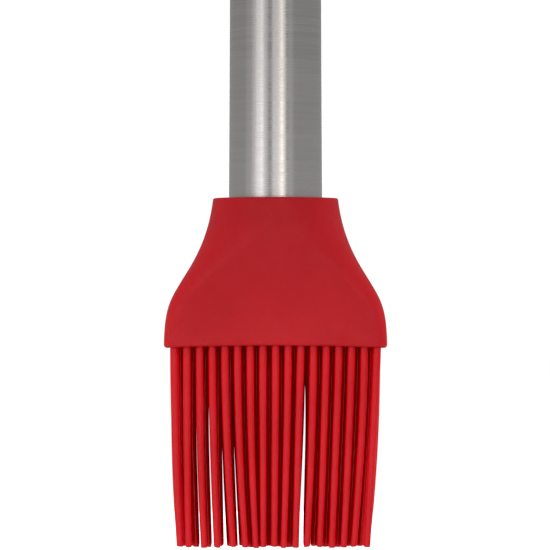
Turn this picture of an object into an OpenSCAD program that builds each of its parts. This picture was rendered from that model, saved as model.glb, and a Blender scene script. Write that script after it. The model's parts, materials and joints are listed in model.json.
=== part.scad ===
// Silicone pastry brush with a hollow tubular steel handle, hanging by its eyelet.
// Millimetres. The origin is the centre of the hang hole, +Z is up along the handle,
// X runs across the flat head and -Y is the front. The head pulls off downwards.

/* [Overall] */
// Length from the top of the end cap to the bristle tips
total_len = 250; // [220:1:290]
// Distance from the top of the end cap down to the hang hole's centre
hang_drop = 12; // [11.5:0.5:16]

/* [Handle] */
// Outside diameter of the handle tube over its plain length
tube_d = 17.2; // [16.6:0.1:17.4]
// Outside diameter of the tube where it enters the head
tube_flare_d = 17.64; // [17.42:0.01:17.7]
// Wall thickness of the tube
tube_wall = 0.8; // [0.6:0.1:1.2]
// Length over which the tube flares above the head
flare_len = 67; // [30:1:100]
// How far the tube reaches into the head
tube_entry = 10; // [8:0.5:11]
// Thickness of the domed end cap
cap_t = 3; // [2.5:0.1:3.5]
// Bore of the hang eyelet
hang_bore = 7.5; // [5:0.1:8]
// Wall thickness of the hang eyelet
eyelet_wall = 0.75; // [0.5:0.05:1]

/* [Head] */
// Width of the head at its mouth
head_w = 42; // [41.4:0.1:44]
// Thickness of the head at its mouth
head_t = 12.2; // [12:0.1:14]
// Outside diameter of the head's neck
neck_d = 23.6; // [22.6:0.1:26]
// Height of the head from its lip to its neck
boot_h = 28.2; // [27:0.1:34]
// Thickness of the lip round the mouth
lip_wall = 0.85; // [0.8:0.01:0.9]
// Height of the arch in the lip's lower edge
lip_arch = 0.47; // [0:0.01:0.7]
// Corner radius of the head at its mouth
mouth_corner = 2.2; // [2:0.1:2.4]

/* [Core] */
// Length of the core's spigot inside the tube
spigot_len = 26; // [23:1:40]
// Width of the core's tongue
tongue_w = 13; // [10:0.5:14]
// Thickness of the core's tongue
tongue_t = 8; // [6:0.5:9]
// Length of the core's tongue
tongue_len = 8; // [5:0.5:8.5]
// Diameter of the pin that locks the core in the tube
pin_d = 3; // [2:0.1:4]

/* [Bristles] */
// Length that the bristles reach below the lip
bristle_reach = 37.6; // [25:0.1:45]
// Distance between neighbouring bristles of one row
pitch_x = 2.38; // [2.3:0.01:2.4]
// Distance between rows
pitch_y = 2.05; // [1.95:0.01:2.05]
// Bristle diameter at the root
root_d = 1.56; // [1.2:0.01:1.6]
// Bristle diameter at the tip
tip_d = 1.26; // [0.9:0.01:1.3]
// Radius of the rounded edge of the blunt tip
tip_round = 0.26; // [0.05:0.01:0.4]

/* [Hidden] */
$fn = 64;

// Clearances: moulded parts on the steel, the head on the core, and pressed parts.
fit_gap = 0.03;
slip_gap = 0.1;
press_gap = 0.01;

// Levels, from the hang hole down.
cap_top = hang_drop;
tube_top = cap_top - cap_t;
tip_z = cap_top - total_len;
lip_z = tip_z + bristle_reach;
neck_z = lip_z + boot_h;
tube_end = neck_z - tube_entry;
collar_t = 1.5;
tongue_top = tube_end - collar_t;
tongue_end = tongue_top - tongue_len;

// The head's mouth, its pad and the bristle roots.
recess_corner = 1.2;
pad_t = 3;
pad_face = lip_z + 1.5;
pad_top = pad_face + pad_t;
flex_z = lip_z - 0.2;

// The bristle field. Odd rows hold one bristle more than even rows, which sit half a
// pitch across.
row_count = 5;
odd_count = 17;
length_spread = 0.25;
// How far each bristle of an odd row leans across at its tip, left to right. The even rows
// lean as their neighbours do.
odd_lean = [1.1, 0.35, 0.9, 0.95, 1.55, 1.5, 1.1, 0.1, -0.25, -0.85, -1.0, -1.25, -1.2, -1.35, -1.5,
            -2.0, -1.9];
// Stray bristles: row, place in the row and extra lean.
strays = [[2, 1, -0.15], [2, 2, -0.5], [2, 3, -0.95], [2, 4, -0.9], [2, 10, 1.05], [2, 11, 0.15],
          [3, 4, -0.6],
          [4, 1, -0.15], [4, 2, -0.5], [4, 3, -0.95], [4, 4, 0.55], [4, 10, 1.05], [4, 11, 0.15]];

// Half of the head's outline seen from the front, as two cubic curves end to end.
// Each point is [share of the way down, share of the way out].
flare = [[0, 0], [0.303, 0.108], [0.45, 0.45], [0.565, 0.66], [0.681, 0.873], [0.742, 0.997], [1, 1]];
taper_start = 0.15;
ring_steps = 20;
flare_steps = 6;
lip_round = 0.6;
rim_round = 0.35;

// Helpers

function mix(a, b, s) = a + (b - a) * s;
function smooth(s) = let (c = min(1, max(0, s))) c * c * (3 - 2 * c);
function cubic(p, i, u) =
    pow(1 - u, 3) * p[i] + 3 * pow(1 - u, 2) * u * p[i + 1]
    + 3 * (1 - u) * u * u * p[i + 2] + pow(u, 3) * p[i + 3];

module along_y(r, h) {
    rotate([90, 0, 0])
        cylinder(r = r, h = h, center = true);
}

module rounded_rect(w, d, r) {
    square([w - 2 * r, d], center = true);
    square([w, d - 2 * r], center = true);
    for (x = [-1, 1], y = [-1, 1])
        translate([x * (w / 2 - r), y * (d / 2 - r)])
            circle(r = r);
}

module rounded_bar(w, d, r, top, bottom) {
    translate([0, 0, bottom])
        linear_extrude(height = top - bottom)
            rounded_rect(w, d, r);
}

// Handle

// The tube's radius by height: it flares towards the head along a parabola.
tube_radii = [for (i = [0:flare_steps]) let (s = i / flare_steps)
    [neck_z + s * flare_len, mix(tube_d, tube_flare_d, pow(1 - s, 2)) / 2]];

// A round bar that follows the tube's surface, moved inwards by an inset.
module tube_solid(inset, bottom, top) {
    function edge(z) = [lookup(z, tube_radii) - inset, z];
    flare_points = [for (p = tube_radii) if (p[0] > bottom && p[0] < top) edge(p[0])];
    rotate_extrude()
        polygon(concat([[0, bottom], edge(bottom)], flare_points, [edge(top), [0, top]]));
}

module handle_tube() {
    color("silver")
        difference() {
            tube_solid(0, tube_end, tube_top);
            tube_solid(tube_wall, tube_end - 1, tube_top + 1);
            along_y(hang_bore / 2 + eyelet_wall, 2 * tube_d);
            pin_hole();
        }
}

// The domed cap: a disc with a rounded edge over a plug that fills the tube's mouth.
module end_cap() {
    edge = 2;
    plug_len = 3.6;
    plug_r = tube_d / 2 - tube_wall - fit_gap;
    color("gainsboro")
        translate([0, 0, tube_top])
            rotate_extrude() {
                square([tube_d / 2 - edge, cap_t]);
                square([tube_d / 2, cap_t - edge]);
                translate([tube_d / 2 - edge, cap_t - edge])
                    intersection() {
                        circle(r = edge);
                        square(edge);
                    }
                translate([0, -plug_len])
                    square([plug_r, plug_len]);
            }
}

// The eyelet: a sleeve through the tube whose ends follow the tube, with a thin flange outside.
module hang_eyelet() {
    proud = 0.35;
    flange = 0.75;
    sleeve_r = hang_bore / 2 + eyelet_wall - press_gap;
    tall = 4 * sleeve_r;
    color("whitesmoke")
        difference() {
            union() {
                intersection() {
                    along_y(sleeve_r, 2 * tube_d);
                    cylinder(r = tube_d / 2 + proud, h = tall, center = true);
                }
                intersection() {
                    along_y(sleeve_r + flange, 2 * tube_d);
                    difference() {
                        cylinder(r = tube_d / 2 + proud, h = tall, center = true);
                        cylinder(r = tube_d / 2, h = tall + 1, center = true);
                    }
                }
            }
            along_y(hang_bore / 2, 3 * tube_d);
        }
}

// Core: a plug in the tube, a collar under its end and a tongue inside the head

seal_d = 1.3;
seal_z = tube_end + 17;
pin_z = tube_end + 5;

module pin_hole() {
    translate([0, 0, pin_z])
        along_y(pin_d / 2, 2 * tube_d);
}

module head_core() {
    groove_r = tube_d / 2 - tube_wall - seal_d;
    hollow_r = 4.5;
    hollow_len = 16;
    bead = 0.9;
    color("dimgray")
        difference() {
            union() {
                tube_solid(tube_wall + fit_gap, tube_end, tube_end + spigot_len);
                translate([0, 0, tongue_top])
                    cylinder(d = tube_flare_d, h = collar_t);
                rounded_bar(tongue_w, tongue_t, 2, tongue_top, tongue_end);
            }
            // Groove for the seal
            translate([0, 0, seal_z])
                rotate_extrude()
                    translate([groove_r, -seal_d / 2 - slip_gap])
                        square([2 * seal_d, seal_d + 2 * slip_gap]);
            // Cored-out top of the spigot
            translate([0, 0, tube_end + spigot_len - hollow_len])
                cylinder(r = hollow_r, h = hollow_len + 1);
            pin_hole();
            // Grip grooves across both faces of the tongue
            for (side = [-1, 1], i = [1:3])
                translate([0, side * tongue_t / 2, mix(tongue_top, tongue_end, i / 4)])
                    cube([tongue_w + 1, bead, bead], center = true);
        }
}

module core_seal() {
    color("black")
        translate([0, 0, seal_z])
            rotate_extrude()
                translate([tube_d / 2 - tube_wall - seal_d / 2 - press_gap, 0])
                    circle(d = seal_d - 2 * press_gap);
}

module core_pin() {
    color("silver")
        intersection() {
            translate([0, 0, pin_z])
                along_y(pin_d / 2 - press_gap, 2 * tube_d);
            translate([0, 0, pin_z])
                cylinder(d = tube_flare_d - slip_gap, h = 2 * pin_d, center = true);
        }
}

// Head: a boot that blends from the round neck to the flat mouth

// The flare curve at a share of the way down, found by halving.
function flare_u(i, share, lo, hi, n) =
    let (mid = (lo + hi) / 2)
    n == 0 ? mid
    : cubic(flare, i, mid)[0] < share ? flare_u(i, share, mid, hi, n - 1)
    : flare_u(i, share, lo, mid, n - 1);
function flare_out(share) =
    let (i = share < flare[3][0] ? 0 : 3)
    cubic(flare, i, flare_u(i, share, 0, 1, 20))[1];

function half_width(s) = mix(neck_d, head_w, flare_out(s)) / 2;
function half_depth(s) = mix(neck_d, head_t, smooth((s - taper_start) / (1 - taper_start))) / 2;
function corner_r(s) = mix(0.97 * half_depth(s), mouth_corner, smooth(s));
// Half the section's depth at x, for a rounded rectangle of half sizes a and b.
function section_y(x, a, b, r) =
    abs(x) <= a - r ? b : b - r + sqrt(max(0, r * r - pow(abs(x) - (a - r), 2)));

function boot_ring(s, inset, drop) =
    let (a = half_width(s) - inset, b = half_depth(s) - inset, r = corner_r(s) - inset)
    [for (side = [1, -1], k = [0:ring_steps])
        let (x = side * a * cos(180 * k / ring_steps))
        [x, side * section_y(x, a, b, r),
         neck_z - s * boot_h - drop + lip_arch * (1 - x * x / (a * a)) * pow(s, 4)]];

function rounded_end(s, r, way) =
    [for (angle = [90, 60, 30]) boot_ring(s, r * (1 - cos(angle)), way * r * sin(angle))];

module boot_shell() {
    last = 1 - lip_round / boot_h;
    first = rim_round / boot_h;
    rings = concat(
        rounded_end(first, rim_round, -1),
        [for (i = [0:13]) boot_ring(mix(first, last, i / 13), 0, 0)],
        [for (angle = [30, 60, 90]) boot_ring(last, lip_round * (1 - cos(angle)), lip_round * sin(angle))]
    );
    size = len(rings[0]);
    below = len(rings) * size;
    points = concat([for (ring = rings) each ring], [[0, 0, lip_z + lip_arch]]);
    faces = concat(
        [[for (i = [size - 1:-1:0]) i]],
        [for (j = [0:len(rings) - 2], i = [0:size - 1]) let (n = (i + 1) % size, at = j * size)
            [at + i, at + n, at + size + n, at + size + i]],
        [for (i = [0:size - 1]) let (at = below - size) [at + i, at + (i + 1) % size, below]]
    );
    polyhedron(points = points, faces = faces, convexity = 6);
}

module mouth_bar(gap, top, bottom) {
    inset = 2 * (lip_wall + gap);
    rounded_bar(head_w - inset, head_t - inset, recess_corner - gap, top, bottom);
}

module head_boot() {
    color("firebrick")
        difference() {
            boot_shell();
            // Socket for the tube and the core's collar
            translate([0, 0, tongue_top - slip_gap])
                cylinder(d = tube_flare_d + 2 * slip_gap, h = tube_entry + 10);
            // Pocket for the core's tongue
            rounded_bar(tongue_w + 2 * slip_gap, tongue_t + 2 * slip_gap, 2 + slip_gap,
                        tongue_top, tongue_end - 2 * slip_gap);
            // Recess for the bristle pad
            mouth_bar(0, pad_top, lip_z - 2);
        }
}

// Bristles

function is_odd(row) = row % 2 == 1;
function row_y(row) = (row - (row_count + 1) / 2) * pitch_y;
function row_size(row) = is_odd(row) ? odd_count : odd_count - 1;
function root_x(row, k) = (k - (row_size(row) - 1) / 2) * pitch_x;
function extra_lean(row, k) =
    let (found = [for (s = strays) if (s[0] == row && s[1] == k) s[2]]) len(found) ? found[0] : 0;
function lean(row, k) =
    (is_odd(row) ? odd_lean[k] : (odd_lean[k] + odd_lean[k + 1]) / 2) + extra_lean(row, k);
function bristle_len(row, k) =
    flex_z - tip_z - length_spread * (1 + sin(97 * k + 61 * row)) / 2;

// The short fixed roots stop just above the level where the bristles flex.
module bristle_pad() {
    root_end = flex_z + root_d / 2 + slip_gap;
    color("firebrick") {
        union() {
            mouth_bar(fit_gap, pad_top - fit_gap, pad_face);
            for (row = [1:row_count], k = [0:row_size(row) - 1])
                translate([root_x(row, k), row_y(row), root_end])
                    cylinder(d = root_d, h = pad_face - root_end + 0.5, $fn = 24);
        }
    }
}

// One bristle standing on its flex point, pointing up, with a ball root and a blunt tip.
module bristle(length) {
    root_r = root_d / 2;
    flat_r = tip_d / 2 - tip_round;
    end_angles = [0:22.5:90];
    rotate_extrude($fn = 24)
        polygon(concat(
            [for (a = end_angles) [root_r * sin(a), -root_r * cos(a)]],
            [for (a = end_angles) [flat_r + tip_round * cos(a), length - tip_round * (1 - sin(a))]],
            [[0, length]]
        ));
}

module bristle_row(row) {
    color("crimson")
        for (k = [0:row_size(row) - 1])
            translate([root_x(row, k), row_y(row), flex_z])
                rotate([0, 180 - atan(lean(row, k) / bristle_len(row, k)), 0])
                    bristle(bristle_len(row, k));
}

handle_tube();
end_cap();
hang_eyelet();
head_core();
core_seal();
core_pin();
head_boot();
bristle_pad();
bristle_row(1);  // bristle_row_1
bristle_row(2);  // bristle_row_2
bristle_row(3);  // bristle_row_3
bristle_row(4);  // bristle_row_4
bristle_row(5);  // bristle_row_5
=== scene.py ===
import json
import math
import random

import bmesh
import bpy
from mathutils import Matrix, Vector


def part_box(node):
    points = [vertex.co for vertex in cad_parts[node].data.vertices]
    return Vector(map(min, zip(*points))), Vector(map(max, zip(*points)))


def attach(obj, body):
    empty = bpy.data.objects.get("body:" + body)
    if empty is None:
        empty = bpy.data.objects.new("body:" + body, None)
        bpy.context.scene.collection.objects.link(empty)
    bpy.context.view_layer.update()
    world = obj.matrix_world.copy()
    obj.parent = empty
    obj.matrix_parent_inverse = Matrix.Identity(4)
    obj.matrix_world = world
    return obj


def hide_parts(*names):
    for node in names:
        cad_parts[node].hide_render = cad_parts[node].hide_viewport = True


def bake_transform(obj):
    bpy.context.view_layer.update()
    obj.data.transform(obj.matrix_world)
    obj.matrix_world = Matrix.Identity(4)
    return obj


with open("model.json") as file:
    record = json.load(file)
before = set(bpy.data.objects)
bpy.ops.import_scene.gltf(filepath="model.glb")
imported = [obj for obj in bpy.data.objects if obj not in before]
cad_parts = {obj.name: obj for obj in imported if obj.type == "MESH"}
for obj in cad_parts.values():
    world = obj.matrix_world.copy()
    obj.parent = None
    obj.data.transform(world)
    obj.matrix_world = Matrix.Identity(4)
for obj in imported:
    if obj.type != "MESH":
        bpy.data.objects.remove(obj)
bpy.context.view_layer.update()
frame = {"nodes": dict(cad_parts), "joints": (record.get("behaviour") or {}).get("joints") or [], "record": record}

# The looks of a silicone pastry brush that hangs bristles down by its eyelet. Metres, in
# the CAD frame: +Z up along the handle, X across the flat head, the front towards -Y.

MM = 0.001
rng = random.Random(20)


# Places and sizes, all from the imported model

HANG_BORE = frame["record"]["mounts"][0]["dims"]["r_mm"] * MM

boot_lo, boot_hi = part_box("head_boot")
pad_lo, pad_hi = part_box("bristle_pad")
tube_lo, tube_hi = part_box("handle_tube")
cap_lo, cap_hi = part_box("end_cap")
eyelet_lo, eyelet_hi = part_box("hang_eyelet")
core_lo, core_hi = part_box("head_core")
pin_lo, pin_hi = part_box("core_pin")

LIP_Z = boot_lo.z
NECK_Z = boot_hi.z
BOOT_H = NECK_Z - LIP_Z
NECK_R = boot_hi.y
MOUTH_HALF = boot_hi.x
RECESS_DEPTH = 1.5 * MM
PAD_FACE = LIP_Z + RECESS_DEPTH

# Gaps: between glued or moulded neighbours, between parts that slide, and round a pressed part.
FIT = 0.03 * MM
SLIP = 0.1 * MM
PRESS = 0.01 * MM


# Mesh building

CREASE = math.radians(35)
WELD = 0.002 * MM
HOLE_SIDES = 96
HOLE_REACH = 30 * MM


def smooth(t):
    t = min(1.0, max(0.0, t))
    return t * t * (3 - 2 * t)


def mix(a, b, t):
    return a + (b - a) * t


def arc(steps, start=0.0, end=90.0):
    """Angles in radians from start to end degrees, both included."""
    return [math.radians(mix(start, end, i / steps)) for i in range(steps + 1)]


def outline(a, b, r, count):
    """Points spaced evenly round a rounded rectangle of half sizes a and b, from +X towards +Y."""
    side, corner = b - r, math.pi * r / 2
    total = side + corner + (a - r)

    def quarter(distance):
        if distance <= side:
            return a, distance
        if distance <= side + corner:
            angle = (distance - side) / r
            return a - r + r * math.cos(angle), b - r + r * math.sin(angle)
        return a - r - (distance - side - corner), b

    points = []
    quarter_count = count // 4
    for q, (sx, sy) in enumerate(((1, 1), (-1, 1), (-1, -1), (1, -1))):
        for i in range(quarter_count):
            step = i if q % 2 == 0 else quarter_count - i
            x, y = quarter(total * step / quarter_count)
            points.append((sx * x, sy * y))
    return points


def circle(r, count):
    angles = [2 * math.pi * i / count for i in range(count)]
    return [(r * math.cos(angle), r * math.sin(angle)) for angle in angles]


def flat_ring(points, z):
    return [(x, y, z) for x, y in points]


def loft(rings, first=0, caps=True, closed=False):
    """Vertices and quads of a skin through equal rings; first is the index of its first vertex."""
    count = len(rings[0])
    verts = [v for ring in rings for v in ring]
    faces = []
    bands = len(rings) if closed else len(rings) - 1
    for j in range(bands):
        a, b = first + j * count, first + ((j + 1) % len(rings)) * count
        for i in range(count):
            n = (i + 1) % count
            faces.append((a + i, a + n, b + n, b + i))
    if caps and not closed:
        last = first + (len(rings) - 1) * count
        faces.append(tuple(range(first + count - 1, first - 1, -1)))
        faces.append(tuple(range(last, last + count)))
    return verts, faces


def piece(name, verts, faces, material):
    """A smooth-shaded mesh object with its faces turned outwards and its edges kept crisp."""
    mesh = bpy.data.meshes.new(name)
    mesh.from_pydata(verts, [], faces)
    skin = bmesh.new()
    skin.from_mesh(mesh)
    if skin.calc_volume(signed=True) < 0:
        mesh.flip_normals()
    skin.free()
    mesh.update()
    mesh.shade_smooth()
    mesh.set_sharp_from_angle(angle=CREASE)
    mesh.materials.append(material)
    obj = bpy.data.objects.new(name, mesh)
    bpy.context.scene.collection.objects.link(obj)
    return obj


def drill(obj, r, z):
    """Cuts a round hole of radius r along Y through obj at height z, without slivers."""
    section = circle(r, HOLE_SIDES)
    rings = [[(x, y, z + h) for x, h in section] for y in (-HOLE_REACH, HOLE_REACH)]
    cutter = piece("cutter", *loft(rings), obj.data.materials[0])
    bpy.context.view_layer.update()
    cut = obj.modifiers.new("hole", "BOOLEAN")
    cut.operation = "DIFFERENCE"
    cut.solver = "EXACT"
    cut.object = cutter
    evaluated = obj.evaluated_get(bpy.context.evaluated_depsgraph_get())
    drilled = bpy.data.meshes.new_from_object(evaluated)
    skin = bmesh.new()
    skin.from_mesh(drilled)
    bmesh.ops.remove_doubles(skin, verts=skin.verts, dist=WELD)
    bmesh.ops.dissolve_degenerate(skin, edges=skin.edges, dist=WELD)
    skin.to_mesh(drilled)
    skin.free()
    obj.modifiers.clear()
    obj.data = drilled
    obj.data.set_sharp_from_angle(angle=CREASE)
    bpy.data.objects.remove(cutter)


# Materials


def scaled(colour, factor):
    return tuple(factor * c for c in colour)


class Shader:
    """A node material with short calls to add and link nodes."""

    def __init__(self, name):
        self.material = bpy.data.materials.new(name)
        self.material.use_nodes = True
        self.tree = self.material.node_tree
        self.bsdf = self.tree.nodes["Principled BSDF"]
        self.place = self.add("ShaderNodeTexCoord").outputs["Object"]

    def add(self, kind, **settings):
        node = self.tree.nodes.new(kind)
        for key, value in settings.items():
            setattr(node, key, value)
        return node

    def link(self, source, target):
        self.tree.links.new(source, target)

    def set(self, **values):
        for key, value in values.items():
            self.bsdf.inputs[key.replace("_", " ")].default_value = value

    def axes(self):
        """The place's X, Y and Z, each on its own."""
        node = self.add("ShaderNodeSeparateXYZ")
        self.link(self.place, node.inputs["Vector"])
        return node.outputs

    def stretched(self, x, y, z):
        """The place with its axes scaled, for a pattern that runs longer one way."""
        node = self.add("ShaderNodeMapping")
        node.inputs["Scale"].default_value = (x, y, z)
        self.link(self.place, node.inputs["Vector"])
        return node.outputs["Vector"]

    def noise(self, scale, detail=2.0, vector=None):
        node = self.add("ShaderNodeTexNoise")
        node.inputs["Scale"].default_value = scale
        node.inputs["Detail"].default_value = detail
        self.link(vector or self.place, node.inputs["Vector"])
        return node.outputs["Fac"]

    def remap(self, value, low, high, start=0.3, end=0.7):
        """Maps value from start..end to low..high, held at both ends."""
        node = self.add("ShaderNodeMapRange")
        self.link(value, node.inputs["Value"])
        ends = {"From Min": start, "From Max": end, "To Min": low, "To Max": high}
        for key, number in ends.items():
            node.inputs[key].default_value = number
        return node.outputs["Result"]

    def math(self, operation, a, b=0.0):
        node = self.add("ShaderNodeMath", operation=operation)
        for socket, value in zip(node.inputs, (a, b)):
            if isinstance(value, (int, float)):
                socket.default_value = value
            else:
                self.link(value, socket)
        return node.outputs["Value"]

    def blend(self, factor, a, b):
        """A colour from a at factor 0 to b at factor 1, each a tuple or a socket."""
        node = self.add("ShaderNodeMix", data_type="RGBA")
        self.link(factor, node.inputs["Factor"])
        for key, colour in (("A", a), ("B", b)):
            socket = [s for s in node.inputs if s.name == key and s.type == "RGBA"][0]
            if isinstance(colour, tuple):
                socket.default_value = (*colour, 1.0)
            else:
                self.link(colour, socket)
        return [s for s in node.outputs if s.type == "RGBA"][0]

    def bump(self, height, distance):
        node = self.add("ShaderNodeBump")
        node.inputs["Distance"].default_value = distance
        self.link(height, node.inputs["Height"])
        self.link(node.outputs["Normal"], self.bsdf.inputs["Normal"])


def silicone(name, dark, light, rough, grain, boot=False):
    """Moulded silicone: mottled red with a fine eroded grain.

    The boot has a mould line down its sides, and painted shade darkens it towards the neck.
    """
    s = Shader(name)
    s.set(IOR=1.41, Subsurface_Weight=0.4, Subsurface_Scale=0.0014)
    s.bsdf.inputs["Subsurface Radius"].default_value = (1.0, 0.16, 0.10)
    mottle = s.math("ADD", s.noise(70, 3.0), s.math("MULTIPLY", s.noise(1400, 2.0), 0.35))
    colour = s.blend(s.remap(mottle, 0, 1, 0.45, 0.9), dark, light)
    height = s.math("ADD", s.noise(2600, 3.0), s.math("MULTIPLY", s.noise(500, 2.0), 0.8))
    if boot:
        axes = s.axes()
        # Painted shade: the boot's colour darkens towards the neck, standing in for less light there.
        painted_neck_shade = s.remap(axes["Z"], 0, 0.65, LIP_Z + 5 * MM, NECK_Z)
        colour = s.blend(painted_neck_shade, colour, scaled(dark, 0.72))
        mould_line = s.remap(s.math("ABSOLUTE", axes["Y"]), 2.0, 0.0, 0.02 * MM, 0.14 * MM)
        height = s.math("ADD", height, mould_line)
    s.link(colour, s.bsdf.inputs["Base Color"])
    s.link(s.remap(s.noise(420, 3.0), rough - 0.05, rough + 0.07), s.bsdf.inputs["Roughness"])
    s.bump(height, grain)
    return s.material


# Brushed lines to the metre
FINE_LINES = 7000.0
BROAD_LINES = FINE_LINES / 9


def brushed_steel(name, dark, light, rough, around=True):
    """Stainless steel with fine lines brushed round the tube, or turned in rings on an end.

    Painted light makes the tube a little brighter beside the head.
    """
    s = Shader(name)
    s.set(Metallic=1.0)
    axes = s.axes()
    if around:
        fine = s.noise(1.0, 3.0, s.stretched(70, 70, FINE_LINES))
        broad = s.noise(1.0, 3.0, s.stretched(45, 45, BROAD_LINES))
        tangent = s.add("ShaderNodeTangent", direction_type="RADIAL", axis="Z")
        s.set(Anisotropic=0.7, Anisotropic_Rotation=0.25)
        s.link(tangent.outputs["Tangent"], s.bsdf.inputs["Tangent"])
    else:
        squares = [s.math("POWER", axes[axis], 2.0) for axis in "XY"]
        ring = s.add("ShaderNodeCombineXYZ")
        s.link(s.math("SQRT", s.math("ADD", *squares)), ring.inputs["X"])
        fine = s.noise(FINE_LINES, 3.0, ring.outputs["Vector"])
        broad = s.noise(BROAD_LINES, 3.0, ring.outputs["Vector"])
    lines = s.math("ADD", s.math("MULTIPLY", fine, 0.6), s.math("MULTIPLY", broad, 0.4))
    colour = s.blend(s.remap(lines, 0, 1, 0.38, 0.62), dark, light)
    if around:
        # Painted light: the steel's colour brightens towards the head.
        painted_light_by_head = s.remap(axes["Z"], 0.6, 0, NECK_Z, NECK_Z + 30 * MM)
        colour = s.blend(painted_light_by_head, colour, scaled(light, 1.15))
    s.link(colour, s.bsdf.inputs["Base Color"])
    s.link(s.remap(lines, rough - 0.05, rough + 0.06, 0.38, 0.62), s.bsdf.inputs["Roughness"])
    s.bump(lines, 0.0007 * MM)
    return s.material


def polished_steel(name, colour, rough):
    """Bright steel with faint handling scratches."""
    s = Shader(name)
    s.set(Metallic=1.0)
    scratch = s.noise(1.0, 4.0, s.stretched(300, 2600, 900))
    shade = s.blend(s.remap(scratch, 0, 1), scaled(colour, 0.9), colour)
    s.link(shade, s.bsdf.inputs["Base Color"])
    s.link(s.remap(scratch, rough, rough + 0.08), s.bsdf.inputs["Roughness"])
    s.bump(scratch, 0.002 * MM)
    return s.material


def moulded_nylon(name, dark, light, rough):
    """Matt engineering plastic with a spark-eroded grain."""
    s = Shader(name)
    s.set(IOR=1.53)
    shade = s.blend(s.remap(s.noise(300, 3.0), 0, 1), dark, light)
    s.link(shade, s.bsdf.inputs["Base Color"])
    s.link(s.remap(s.noise(900, 2.0), rough - 0.06, rough + 0.08), s.bsdf.inputs["Roughness"])
    s.bump(s.noise(3000, 3.0), 0.02 * MM)
    return s.material


head_red = silicone(
    "head_red", (0.41, 0.013, 0.018), (0.46, 0.016, 0.022), rough=0.58, grain=0.020 * MM, boot=True
)
bristle_red = silicone(
    "bristle_red", (0.47, 0.008, 0.013), (0.53, 0.012, 0.018), rough=0.38, grain=0.008 * MM
)
handle_steel = brushed_steel("handle_steel", (0.61, 0.60, 0.59), (0.71, 0.70, 0.685), 0.25)
cap_steel = brushed_steel(
    "cap_steel", (0.55, 0.54, 0.525), (0.64, 0.63, 0.61), 0.22, around=False
)
eyelet_steel = polished_steel("eyelet_steel", (0.66, 0.65, 0.63), 0.14)
pin_steel = polished_steel("pin_steel", (0.60, 0.59, 0.57), 0.24)
core_nylon = moulded_nylon("core_nylon", (0.022, 0.022, 0.024), (0.034, 0.034, 0.036), 0.52)
seal_rubber = moulded_nylon("seal_rubber", (0.010, 0.010, 0.010), (0.018, 0.018, 0.018), 0.60)


# Head: the boot, one skin from the socket's floor over the outside to the mouth's ceiling

# Half of the head's outline seen from the front, as two cubic curves end to end.
# Each point is (share of the way down, share of the way out).
FLARE = (
    (0, 0), (0.303, 0.108), (0.45, 0.45), (0.565, 0.66), (0.681, 0.873), (0.742, 0.997), (1, 1)
)
TAPER_START = 0.15
LIP_WALL = 0.85 * MM
MOUTH_DEPTH_HALF = pad_hi.y + FIT + LIP_WALL
MOUTH_CORNER = 2.2 * MM
RECESS_CORNER = 1.2 * MM
LIP_ARCH = 0.47 * MM
LIP_ROUND = 0.6 * MM
RIM_ROUND = 0.35 * MM
SOCKET_EDGE = 0.15 * MM
PAD_EDGE = 0.3 * MM
COLLAR_H = 1.5 * MM
TONGUE_HALF_X = 6.5 * MM
TONGUE_HALF_Y = 4 * MM
TONGUE_CORNER = 2 * MM
BOOT_POINTS = 320
BOOT_STEPS = 70


def flare_out(share):
    """How far out the flare is, as a share, at a share of the way down."""
    curve = FLARE[:4] if share < FLARE[3][0] else FLARE[3:]

    def along(axis, u):
        weights = ((1 - u) ** 3, 3 * (1 - u) ** 2 * u, 3 * (1 - u) * u * u, u**3)
        return sum(w * point[axis] for w, point in zip(weights, curve))

    low, high = 0.0, 1.0
    for _ in range(24):
        halfway = (low + high) / 2
        if along(0, halfway) < share:
            low = halfway
        else:
            high = halfway
    return along(1, (low + high) / 2)


def boot_ring(share, inset=0.0, drop=0.0):
    """The boot's section at a share of the way down, moved in by inset and down by drop."""
    a = mix(NECK_R, MOUTH_HALF, flare_out(share))
    b = mix(NECK_R, MOUTH_DEPTH_HALF, smooth((share - TAPER_START) / (1 - TAPER_START)))
    r = mix(0.97 * b, MOUTH_CORNER, smooth(share))
    z = NECK_Z - share * BOOT_H - drop
    arch = LIP_ARCH * share**4
    points = outline(a - inset, b - inset, r - inset, BOOT_POINTS)
    return [(x, y, z + arch * (1 - (x / (a - inset)) ** 2)) for x, y in points]


def socket_rings():
    """The pocket for the core's tongue, and above it the round socket up to its bevelled rim."""
    socket_r = core_hi.x + SLIP
    socket_floor = tube_lo.z - COLLAR_H - SLIP
    pocket_floor = core_lo.z - 2 * SLIP
    bevel_start = NECK_Z - SOCKET_EDGE
    pocket = outline(TONGUE_HALF_X + SLIP, TONGUE_HALF_Y + SLIP, TONGUE_CORNER + SLIP, BOOT_POINTS)
    rings = [flat_ring(pocket, z) for z in (pocket_floor, socket_floor)]
    rings.append(flat_ring(circle(socket_r, BOOT_POINTS), socket_floor))
    for angle in arc(4):
        bevel = circle(socket_r + SOCKET_EDGE * (1 - math.cos(angle)), BOOT_POINTS)
        rings.append(flat_ring(bevel, bevel_start + SOCKET_EDGE * math.sin(angle)))
    return rings


def outer_rings():
    """The outside, from the rounded rim of the neck to the rounded lip."""
    first, last = RIM_ROUND / BOOT_H, 1 - LIP_ROUND / BOOT_H
    rings = []
    for angle in reversed(arc(6)):
        inset, rise = RIM_ROUND * (1 - math.cos(angle)), RIM_ROUND * math.sin(angle)
        rings.append(boot_ring(first, inset, -rise))
    rings += [boot_ring(mix(first, last, (i + 1) / BOOT_STEPS)) for i in range(BOOT_STEPS)]
    for angle in arc(8)[1:]:
        inset, drop = LIP_ROUND * (1 - math.cos(angle)), LIP_ROUND * math.sin(angle)
        rings.append(boot_ring(last, inset, drop))
    return rings


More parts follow.
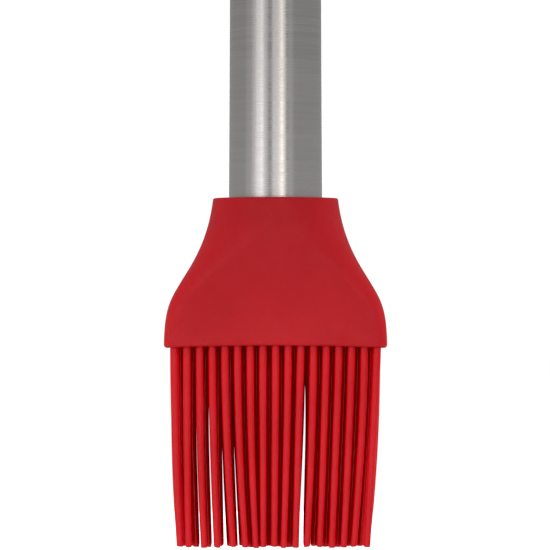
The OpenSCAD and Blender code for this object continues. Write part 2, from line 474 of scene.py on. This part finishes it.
def make_boot():
    rings = socket_rings() + outer_rings()
    recess = outline(pad_hi.x + FIT, pad_hi.y + FIT, RECESS_CORNER, BOOT_POINTS)
    rings.append([(x, y, z) for (x, y), (_, _, z) in zip(recess, rings[-1])])
    rings.append(flat_ring(recess, pad_hi.z + FIT))

    boot = piece("silicone_boot", *loft(rings), head_red)
    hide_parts("head_boot")
    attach(boot, "head")


def make_pad():
    """The plate that the bristles grow from, with a soft edge round its face."""
    corner = RECESS_CORNER - FIT
    rings = []
    for angle in reversed(arc(5)):
        inset = PAD_EDGE * (1 - math.cos(angle))
        points = outline(pad_hi.x - inset, pad_hi.y - inset, corner - inset, BOOT_POINTS)
        rings.append(flat_ring(points, PAD_FACE + PAD_EDGE - PAD_EDGE * math.sin(angle)))
    rings.append(flat_ring(outline(pad_hi.x, pad_hi.y, corner, BOOT_POINTS), pad_hi.z))
    pad = piece("silicone_pad", *loft(rings), head_red)
    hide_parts("bristle_pad")
    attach(pad, "head")


# Bristles: each row is one comb of curved, tapered bristles

ROOT_R = 0.78 * MM
TIP_R = 0.63 * MM
ROOT_FILLET = 0.08 * MM
ROOT_IN_PAD = 0.3 * MM
TIP_ROUND = 0.26 * MM
SLANT_FADE = 1 * MM
BRISTLE_SIDES = 24
BRISTLE_STEPS = 28

# How each bristle of a row bends, left to right: at 1 it leans straight, above 1 it curves
# late, below 1 early.
BENDS_LONG = (
    1.9, 3.0, 2.2, 1.8, 1.9, 2.0, 2.1, 1.8, 1.5, 1.4, 0.95, 1.6, 1.2, 1.15, 1.3, 1.65, 1.2
)
BENDS_SHORT = (2.3, 2.6, 2.6, 2.6, 2.4, 2.2, 2.0, 1.6, 1.5, 1.5, 1.2, 1.5, 1.2, 1.2, 1.4, 1.5)
BENDS = {
    1: BENDS_LONG,
    2: BENDS_SHORT,
    3: (3.5,) + BENDS_LONG[1:-1] + (2.2,),
    4: BENDS_SHORT[:4] + (0.8,) + BENDS_SHORT[5:],
    5: BENDS_LONG,
}
# How far single bristles bow sideways a third of the way down, in mm: row, then place in it.
BOWS = {
    2: {1: -0.33, 2: -0.32, 3: -0.21, 4: -0.36, 10: 0.46},
    3: {4: -0.15, 10: 0.28},
    4: {1: -0.33, 2: -0.32, 3: -0.21, 10: 0.46},
}


def separate_solids(mesh):
    """The mesh's corner points, grouped into its separate solids."""
    parent = {}

    def top(key):
        while parent.setdefault(key, key) != key:
            key = parent[key]
        return key

    for face in mesh.polygons:
        corners = [tuple(round(c, 7) for c in mesh.vertices[v].co) for v in face.vertices]
        for corner in corners[1:]:
            parent[top(corner)] = top(corners[0])
    solids = {}
    for key in list(parent):
        solids.setdefault(top(key), []).append(key)
    return list(solids.values())


def middle(values):
    return (min(values) + max(values)) / 2


def bristle_ends(node, hinge):
    """The root x, tip x and tip z of each bristle in a row, left to right, from its CAD solids."""
    ends = []
    near = 0.3 * MM
    for solid in separate_solids(frame["nodes"][node].data):
        tip_z = min(z for _, _, z in solid)
        root_x = middle([x for x, _, z in solid if z > hinge.z - near])
        tip_x = middle([x for x, _, z in solid if z < tip_z + near])
        ends.append((root_x, tip_x, tip_z))
    return sorted(ends)


def bristle_levels(tip_z, down):
    """Height and radius of a bristle's rings, from inside the pad down to its blunt tip.

    down(z) is the share of the way from the hinge to the tip.
    """
    levels = [(PAD_FACE + ROOT_IN_PAD, ROOT_R)]
    for angle in arc(4):
        r = ROOT_R + ROOT_FILLET * (1 - math.sin(angle)) ** 2
        levels.append((PAD_FACE - ROOT_FILLET * math.sin(angle), r))
    shaft_top, shaft_end = PAD_FACE - 1.1 * ROOT_FILLET, tip_z + TIP_ROUND
    for i in range(1, BRISTLE_STEPS + 1):
        z = mix(shaft_top, shaft_end, i / BRISTLE_STEPS)
        levels.append((z, mix(ROOT_R, TIP_R, down(z))))
    for angle in arc(5)[1:]:
        r = TIP_R - TIP_ROUND * (1 - math.cos(angle))
        levels.append((shaft_end - TIP_ROUND * math.sin(angle), r))
    return levels


def bristle(root_x, tip_x, tip_z, hinge, bend, bow):
    """Rings of one bristle, which leans, bends and bows, with its tip cut at a slight slant."""
    lean_y = rng.uniform(-0.12, 0.12) * MM
    slant_angle, slant = rng.uniform(0, 2 * math.pi), rng.uniform(0.02, 0.10) * MM
    slant_x, slant_y = math.cos(slant_angle), math.sin(slant_angle)

    def down(z):
        return max(0.0, (hinge.z - z) / (hinge.z - tip_z))

    rings = []
    for z, r in bristle_levels(tip_z, down):
        share = down(z)
        # The bow is nothing at both ends and 1 a third of the way down.
        aside = bow * share * (1 - share) ** 2 * 27 / 4
        x, y = mix(root_x, tip_x, share**bend) + aside, hinge.y + lean_y * share * share
        near_tip = smooth((tip_z + TIP_ROUND + SLANT_FADE - z) / SLANT_FADE)
        ring = []
        for dx, dy in circle(r, BRISTLE_SIDES):
            cut = slant * near_tip * (dx * slant_x + dy * slant_y) / TIP_R
            ring.append((x + dx, y + dy, z + cut))
        rings.append(ring)
    return rings


def make_row(number):
    node, body = f"bristle_row_{number}", f"row_{number}"
    joint = [j for j in frame["joints"] if j["child"] == body][0]
    hinge = Vector(joint["pos_m"])
    verts, faces = [], []
    for place, (root_x, tip_x, tip_z) in enumerate(bristle_ends(node, hinge)):
        bow = BOWS.get(number, {}).get(place, 0.0) * MM
        rings = bristle(root_x, tip_x, tip_z, hinge, BENDS[number][place], bow)
        more_verts, more_faces = loft(rings, first=len(verts))
        verts += more_verts
        faces += more_faces
    row = piece(f"silicone_bristles_{number}", verts, faces, bristle_red)
    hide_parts(node)
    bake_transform(row)


# Handle: tube, end cap and hang eyelet

TUBE_SIDES = 256
TUBE_WALL = 0.8 * MM
TUBE_EDGE = 0.12 * MM
FLARE_LEN = 67 * MM
EYELET_WALL = 0.75 * MM
EYELET_SIDES = 160


def tube_r(z):
    share = min(1.0, max(0.0, (z - NECK_Z) / FLARE_LEN))
    return mix(cap_hi.x, tube_hi.x, (1 - share) ** 2)


def tube_rim(z, inwards):
    """Three profile points of a rim with its edge broken; inwards is 1 or -1 along the tube."""
    r = tube_r(z)
    steps = ((TUBE_EDGE, 0), (0.3 * TUBE_EDGE, 0.3 * TUBE_EDGE), (0, TUBE_EDGE))
    return [(r - inset, z + inwards * rise) for inset, rise in steps]


def make_tube():
    """The tube, with more rings along its flare and beside its two cross holes."""
    low, high = tube_lo.z, tube_hi.z
    beside_eyelet = [i * 0.5 * MM for i in range(-13, 14)]
    beside_pin = [pin_lo.z + i * 0.5 * MM for i in range(7)]
    flare = [NECK_Z + FLARE_LEN * i / 24 for i in range(25)]
    levels = sorted(set(beside_eyelet + beside_pin + flare))
    levels = [z for z in levels if low + TUBE_EDGE < z < high - TUBE_EDGE]
    profile = tube_rim(low, 1) + [(tube_r(z), z) for z in levels] + tube_rim(high, -1)[::-1]
    profile += [(tube_r(z) - TUBE_WALL, z) for z in [high] + levels[::-1] + [low]]
    rings = [flat_ring(circle(r, TUBE_SIDES), z) for r, z in profile]
    tube = piece("steel_tube", *loft(rings, closed=True), handle_steel)
    drill(tube, HANG_BORE + EYELET_WALL, 0.0)
    drill(tube, (pin_hi.x - pin_lo.x) / 2 + PRESS, (pin_lo.z + pin_hi.z) / 2)
    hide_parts("handle_tube")
    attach(tube, "handle")


def make_cap():
    """A pressed cap: a crowned face, a generous edge, a fine joint line and a plug below."""
    edge, crown, joint = 2 * MM, 0.25 * MM, 0.12 * MM
    r, seat, knee = cap_hi.x, tube_hi.z, cap_hi.z - crown
    plug_r, neck_r = r - TUBE_WALL - FIT, r - 2.5 * joint
    profile = [(plug_r, cap_lo.z), (plug_r, seat - joint), (neck_r, seat - joint), (neck_r, seat)]
    for a in arc(4):
        profile.append((r - joint + joint * math.sin(a), seat + joint - joint * math.cos(a)))
    for a in arc(14):
        profile.append((r - edge + edge * math.cos(a), knee - edge + edge * math.sin(a)))
    crown_steps = 12
    for i in range(1, crown_steps):
        outwards = 1 - i / crown_steps
        profile.append(((r - edge) * outwards, knee + crown * (1 - outwards**2)))
    rings = [flat_ring(circle(radius, TUBE_SIDES // 2), z) for radius, z in profile]
    cap = piece("steel_cap", *loft(rings), cap_steel)
    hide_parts("end_cap")
    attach(cap, "handle")


def make_eyelet():
    """A rolled eyelet: a sleeve through the tube whose two lips lie on the tube's curve."""
    flange_r = eyelet_hi.x
    proud = eyelet_hi.y - cap_hi.x
    sleeve_r = HANG_BORE + EYELET_WALL - PRESS
    inner, outer, seated = 0.5 * proud, 0.9 * proud, 0.02 * MM

    # A lip's profile as (radius, height over the tube), from the bore out to its rim and back.
    lip = []
    for a in arc(8):
        lip.append((HANG_BORE + inner * (1 - math.cos(a)), proud - inner + inner * math.sin(a)))
    for a in arc(8):
        lip.append((flange_r - outer + outer * math.sin(a), proud - outer + outer * math.cos(a)))
    lip += [(flange_r - seated, -seated), (sleeve_r, -seated)]

    rings = []
    for side, profile in ((-1, lip), (1, lip[::-1])):
        for radius, height in profile:
            ring = []
            for x, z in circle(radius, EYELET_SIDES):
                surface = math.sqrt(max(0.0, (cap_hi.x + height) ** 2 - x * x))
                ring.append((x, side * surface, z))
            rings.append(ring)
    eyelet = piece("steel_eyelet", *loft(rings, closed=True), eyelet_steel)
    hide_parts("hang_eyelet")
    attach(eyelet, "handle")


def finish_inner_parts():
    """The core, its seal and its pin keep their CAD shape and take their own materials."""
    finishes = {"head_core": core_nylon, "core_seal": seal_rubber, "core_pin": pin_steel}
    for node, material in finishes.items():
        mesh = frame["nodes"][node].data
        mesh.materials.clear()
        mesh.materials.append(material)


# Studio

CAMERA_PLACE = (-0.1 * MM, -0.65, LIP_Z + 13.7 * MM)
CAMERA_LENS = 225.0
CAMERA_SENSOR = 36.0
FLOOR_Z = -0.30
FLOOR_SIDES = 64
LIT_POINT = Vector((0, 0, LIP_Z + 20 * MM))
PANEL_DISTANCE = 1.0


def make_camera():
    data = bpy.data.cameras.new("camera")
    data.sensor_width = CAMERA_SENSOR
    data.lens = CAMERA_LENS
    data.clip_start, data.clip_end = 0.01, 100.0
    camera = bpy.data.objects.new("camera", data)
    camera.location = CAMERA_PLACE
    camera.rotation_euler = (math.radians(90), 0, 0)
    bpy.context.scene.collection.objects.link(camera)
    bpy.context.scene.camera = camera


def panel(name, azimuths, elevations, glow, colour=(1, 1, 1), shine=True):
    """A soft box that fills a span of angles, in degrees, as the head sees it.

    Azimuth 0 is behind the camera and positive to the right. Glow is the brightness of its
    face. A box without shine lights the object and leaves no reflection.
    """
    spans = (azimuths, elevations)
    azimuth, elevation = (math.radians((a + b) / 2) for a, b in spans)
    width, height = (2 * PANEL_DISTANCE * math.tan(math.radians(b - a) / 2) for a, b in spans)
    data = bpy.data.lights.new(name, "AREA")
    data.shape = "RECTANGLE"
    data.size, data.size_y = width, height
    data.energy = glow * math.pi * width * height
    data.color = colour
    light = bpy.data.objects.new(name, data)
    level = math.cos(elevation)
    away = Vector((math.sin(azimuth) * level, -math.cos(azimuth) * level, math.sin(elevation)))
    light.location = LIT_POINT + away * PANEL_DISTANCE
    light.rotation_mode = "QUATERNION"
    light.rotation_quaternion = away.to_track_quat("Z", "Y")
    light.visible_camera = False
    light.visible_glossy = shine
    bpy.context.scene.collection.objects.link(light)


def make_world():
    """A grey studio that shows as white paper where the camera looks past the object."""
    world = bpy.data.worlds.new("studio")
    bpy.context.scene.world = world
    world.use_nodes = True
    tree = world.node_tree
    grey = tree.nodes["Background"]
    grey.inputs["Color"].default_value = (0.316, 0.311, 0.313, 1)
    paper = tree.nodes.new("ShaderNodeBackground")
    paper.inputs["Color"].default_value = (1, 1, 1, 1)
    paper.inputs["Strength"].default_value = 1.05
    path = tree.nodes.new("ShaderNodeLightPath")
    choose = tree.nodes.new("ShaderNodeMixShader")
    tree.links.new(path.outputs["Is Camera Ray"], choose.inputs["Fac"])
    tree.links.new(grey.outputs["Background"], choose.inputs[1])
    tree.links.new(paper.outputs["Background"], choose.inputs[2])
    tree.links.new(choose.outputs["Shader"], tree.nodes["World Output"].inputs["Surface"])


def make_floor():
    """A pale floor that only the camera sees, so that it doesn't come between the lights."""
    s = Shader("floor_white")
    s.set(Roughness=0.9, Emission_Strength=0.75)
    s.bsdf.inputs["Emission Color"].default_value = (1, 1, 1, 1)
    s.bsdf.inputs["Base Color"].default_value = (0.8, 0.8, 0.8, 1)
    rings = [flat_ring(circle(r, FLOOR_SIDES), FLOOR_Z) for r in (0.01, 0.5, 6.0)]
    verts, faces = loft(rings, caps=False)
    faces.append(tuple(range(FLOOR_SIDES)))
    floor = piece("floor", verts, faces, s.material)
    floor.visible_glossy = False
    floor.visible_diffuse = False
    floor.visible_shadow = False


def make_lights():
    """Upright strips in front, which make the bands on the steel, and soft fills round the head."""
    strips, tall = (-30, 9), (-25, 25)
    cool, warm = (1, 0.962, 0.953), (1, 0.93, 0.865)
    panel("left_far", (-78, -60), strips, 0.11, cool)
    panel("left_outer", (-60, -50), strips, 0.41, cool)
    panel("left_middle", (-50, -39), strips, 0.96, cool)
    panel("left_inner", (-39, -29.5), strips, 1.34, cool)
    panel("left_edge", (-29.5, -19), strips, 0.48, cool)
    panel("centre", (-8.5, 6.5), strips, 0.68, cool)
    panel("right_inner", (6.5, 12), strips, 0.97, warm)
    panel("right_middle", (12, 19), strips, 1.85, warm)
    panel("right_outer", (19, 25), strips, 0.9, warm)
    panel("right_edge", (31, 44), strips, 0.17, cool)
    panel("top_fill", (-15, 15), (35, 65), 1.1, shine=False)
    panel("left_fill", (-77, -53), tall, 6.8, shine=False)
    panel("right_fill", (53, 77), tall, 5.6, shine=False)
    panel("right_side", (78, 102), tall, 2.2, shine=False)
    panel("back", (172, 188), tall, 1.6)
    panel("back_fill", (165, 195), (20, 50), 3.0, shine=False)


def make_picture():
    """Plain colours with the blacks of a product photograph."""
    view = bpy.context.scene.view_settings
    view.view_transform = "Standard"
    view.use_curve_mapping = True
    view.curve_mapping.black_level = [0.009] * 3


make_picture()
make_camera()
make_world()
make_floor()
make_lights()
make_boot()
make_pad()
for row_number in BENDS:
    make_row(row_number)
make_tube()
make_cap()
make_eyelet()
finish_inner_parts()
